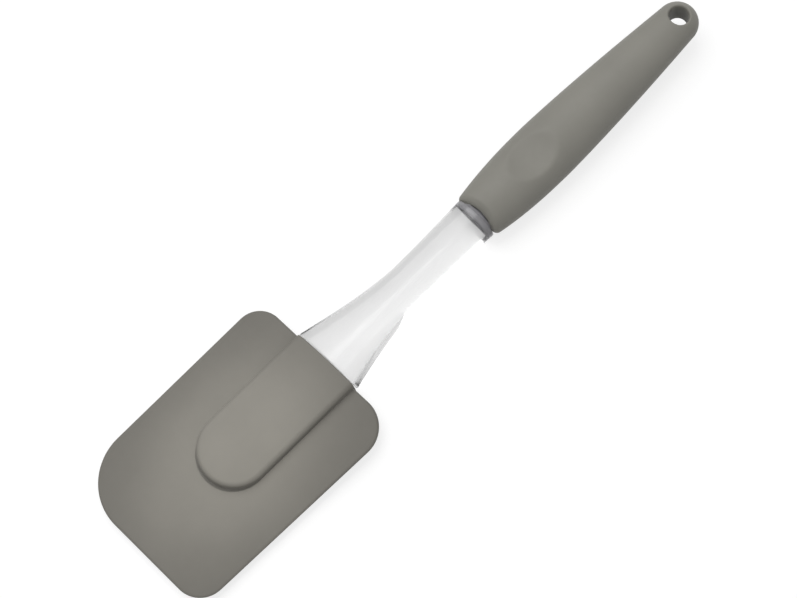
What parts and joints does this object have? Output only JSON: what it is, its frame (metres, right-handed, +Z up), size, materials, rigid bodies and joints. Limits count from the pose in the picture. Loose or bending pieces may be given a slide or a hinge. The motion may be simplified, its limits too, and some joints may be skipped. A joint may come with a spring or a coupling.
{
  "type": "silicone spatula",
  "caption": "Flat kitchen spatula: grey silicone head pushed on a clear flared shank, with a soft grey grip and a hang hole.",
  "frame": {"origin": "on the table plane, under the middle of the tool's length", "axes": "+X along the tool from the grip to the far edge of the head, +Y across the head, +Z up from the table"},
  "size_m": [0.2602, 0.0627, 0.0183],
  "materials": {
    "grey_silicone": "matte",
    "grip_silicone": "matte",
    "clear_plastic": "polished",
    "core_plastic": "moulded"
  },
  "bodies": {
    "handle": {"clear_shank": "clear_plastic", "grip_core": "core_plastic", "grip_sleeve": "grip_silicone"},
    "head": {"silicone_head": "grey_silicone"}
  },
  "joints": [
    {"name": "head_pull", "type": "slide", "parent": "handle", "child": "head", "axis": [1, 0, 0], "range_m": [0, 0.058]}
  ]
}
